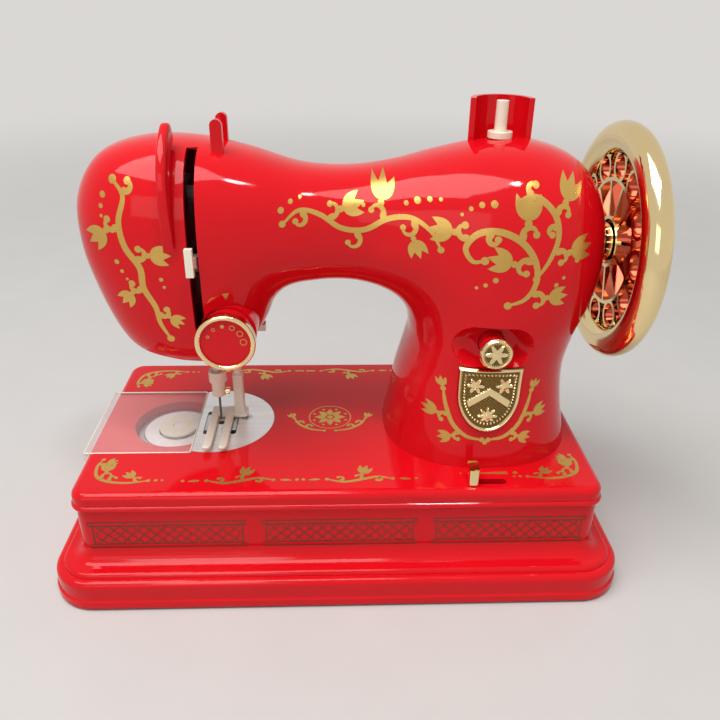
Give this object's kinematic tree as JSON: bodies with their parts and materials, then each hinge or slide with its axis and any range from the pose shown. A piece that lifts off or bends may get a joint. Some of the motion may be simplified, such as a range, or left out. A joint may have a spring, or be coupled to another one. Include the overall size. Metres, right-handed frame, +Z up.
{
  "type": "toy sewing machine",
  "caption": "Toy sewing machine with a curved red arm on a rectangular base, turning handwheel, needle bar, presser foot, take-up lever, tension dial, push button and speed lever.",
  "frame": {"origin": "centre of the base on the surface that the feet stand on", "axes": "+X to the operator's right, from the needle end to the handwheel; +Y away from the operator; +Z up"},
  "size_m": [0.275, 0.155, 0.2188],
  "materials": {
    "red_plastic": "high gloss, with gold print",
    "dark_red_plastic": "gloss",
    "gold_plating": "polished pale gold plating over plastic",
    "ivory_plastic": "semi-gloss",
    "white_plastic": "semi-gloss",
    "clear_plastic": "clear, polished",
    "grey_plate": "satin",
    "steel": "machined",
    "dark_plastic": "matt",
    "black_rubber": "matt",
    "bronze": "sintered",
    "green_board": "solder mask"
  },
  "bodies": {
    "machine": {"base_shell": "red_plastic", "base_bottom": "dark_red_plastic", "rubber_feet": "black_rubber", "casing_screws": "steel", "battery_tray": "dark_plastic", "battery_door": "dark_red_plastic", "battery_cells": "bronze", "battery_contacts": "steel", "circuit_board": "green_board", "slide_switch": "dark_plastic", "needle_plate": "grey_plate", "plate_screw": "steel", "bobbin_case": "white_plastic", "feed_rail": "steel", "drive_belt": "black_rubber", "arm_frame": "steel", "front_shell": "red_plastic", "rear_shell": "red_plastic", "face_cover": "red_plastic", "thread_fin": "red_plastic", "thread_guide": "red_plastic", "spool_guard": "red_plastic", "spool_pin": "ivory_plastic", "shield_badge": "gold_plating", "button_bezel": "dark_red_plastic", "button_spring": "steel", "push_switch": "dark_plastic", "dial_seat": "red_plastic", "presser_spring": "steel", "shaft_bushes": "bronze", "motor": "steel"},
    "drive": {"main_shaft": "steel", "crank_disc": "steel", "drive_gear": "white_plastic", "upper_pulley": "dark_plastic", "handwheel": "gold_plating", "wheel_tracery": "gold_plating"},
    "pinion": {"motor_pinion": "bronze"},
    "lower": {"lower_shaft": "steel", "lower_pulley": "dark_plastic"},
    "hook": {"shuttle_hook": "steel"},
    "bobbin_reel": {"bobbin": "ivory_plastic"},
    "needle_group": {"needle_bar": "steel", "needle_yoke": "dark_plastic", "needle_clamp": "ivory_plastic", "clamp_screw": "gold_plating", "needle": "steel"},
    "take_up": {"take_up_lever": "ivory_plastic"},
    "lifter": {"presser_lifter": "ivory_plastic"},
    "presser": {"presser_bar": "ivory_plastic", "presser_foot": "clear_plastic"},
    "dial": {"tension_dial": "red_plastic", "dial_ring": "gold_plating"},
    "button": {"button_stem": "red_plastic", "button_medallion": "gold_plating"},
    "speed": {"speed_lever": "gold_plating"},
    "cover": {"bobbin_cover": "clear_plastic"},
    "feed": {"feed_dog": "steel"}
  },
  "joints": [
    {"name": "wheel_turn", "type": "hinge", "parent": "machine", "child": "drive", "pos_m": [0, 0, 0.15505], "axis": [1, 0, 0], "continuous": true},
    {"name": "pinion_turn", "type": "hinge", "parent": "machine", "child": "pinion", "pos_m": [0, 0, 0.13585], "axis": [1, 0, 0], "continuous": true},
    {"name": "lower_turn", "type": "hinge", "parent": "machine", "child": "lower", "pos_m": [0, 0, 0.024], "axis": [1, 0, 0], "continuous": true},
    {"name": "hook_turn", "type": "hinge", "parent": "machine", "child": "hook", "pos_m": [-0.085, 0, 0.04], "axis": [0, 0, 1], "continuous": true},
    {"name": "bobbin_turn", "type": "hinge", "parent": "machine", "child": "bobbin_reel", "pos_m": [-0.085, 0, 0.05], "axis": [0, 0, 1], "continuous": true},
    {"name": "needle_stroke", "type": "slide", "parent": "machine", "child": "needle_group", "axis": [0, 0, 1], "range_m": [-0.01, 0.012]},
    {"name": "take_up_swing", "type": "hinge", "parent": "machine", "child": "take_up", "pos_m": [-0.05, -0.016, 0.15005], "axis": [-1, 0, 0], "range_deg": [-21.5, 25.5]},
    {"name": "lifter_swing", "type": "hinge", "parent": "machine", "child": "lifter", "pos_m": [-0.046, 0, 0.11152], "axis": [0, 1, 0], "range_deg": [-4, 54]},
    {"name": "presser_lift", "type": "slide", "parent": "machine", "child": "presser", "axis": [0, 0, 1], "range_m": [0, 0.006], "deforming": ["presser_spring"]},
    {"name": "dial_turn", "type": "hinge", "parent": "machine", "child": "dial", "pos_m": [-0.0495, 0, 0.12351], "axis": [0, 1, 0], "range_deg": [-135, 135]},
    {"name": "button_press", "type": "slide", "parent": "machine", "child": "button", "axis": [0, 1, 0], "range_m": [0, 0.003], "stiffness_N_per_m": 300, "springref_m": -0.001, "deforming": ["button_spring"]},
    {"name": "speed_slide", "type": "slide", "parent": "machine", "child": "speed", "axis": [1, 0, 0], "range_m": [0, 0.014]},
    {"name": "cover_slide", "type": "slide", "parent": "machine", "child": "cover", "axis": [-1, 0, 0], "range_m": [0, 0.045]},
    {"name": "feed_stroke", "type": "slide", "parent": "machine", "child": "feed", "axis": [0, 1, 0], "range_m": [-0.002, 0.002]}
  ],
  "couplings": [
    {"joint": "pinion_turn", "follows": "wheel_turn", "ratio": -2.8},
    {"joint": "lower_turn", "follows": "wheel_turn", "ratio": 1},
    {"joint": "hook_turn", "follows": "wheel_turn", "ratio": -1},
    {"joint": "take_up_swing", "follows": "needle_stroke", "rad_per_m": 35},
    {"joint": "lifter_swing", "follows": "presser_lift", "rad_per_m": 145.4}
  ]
}
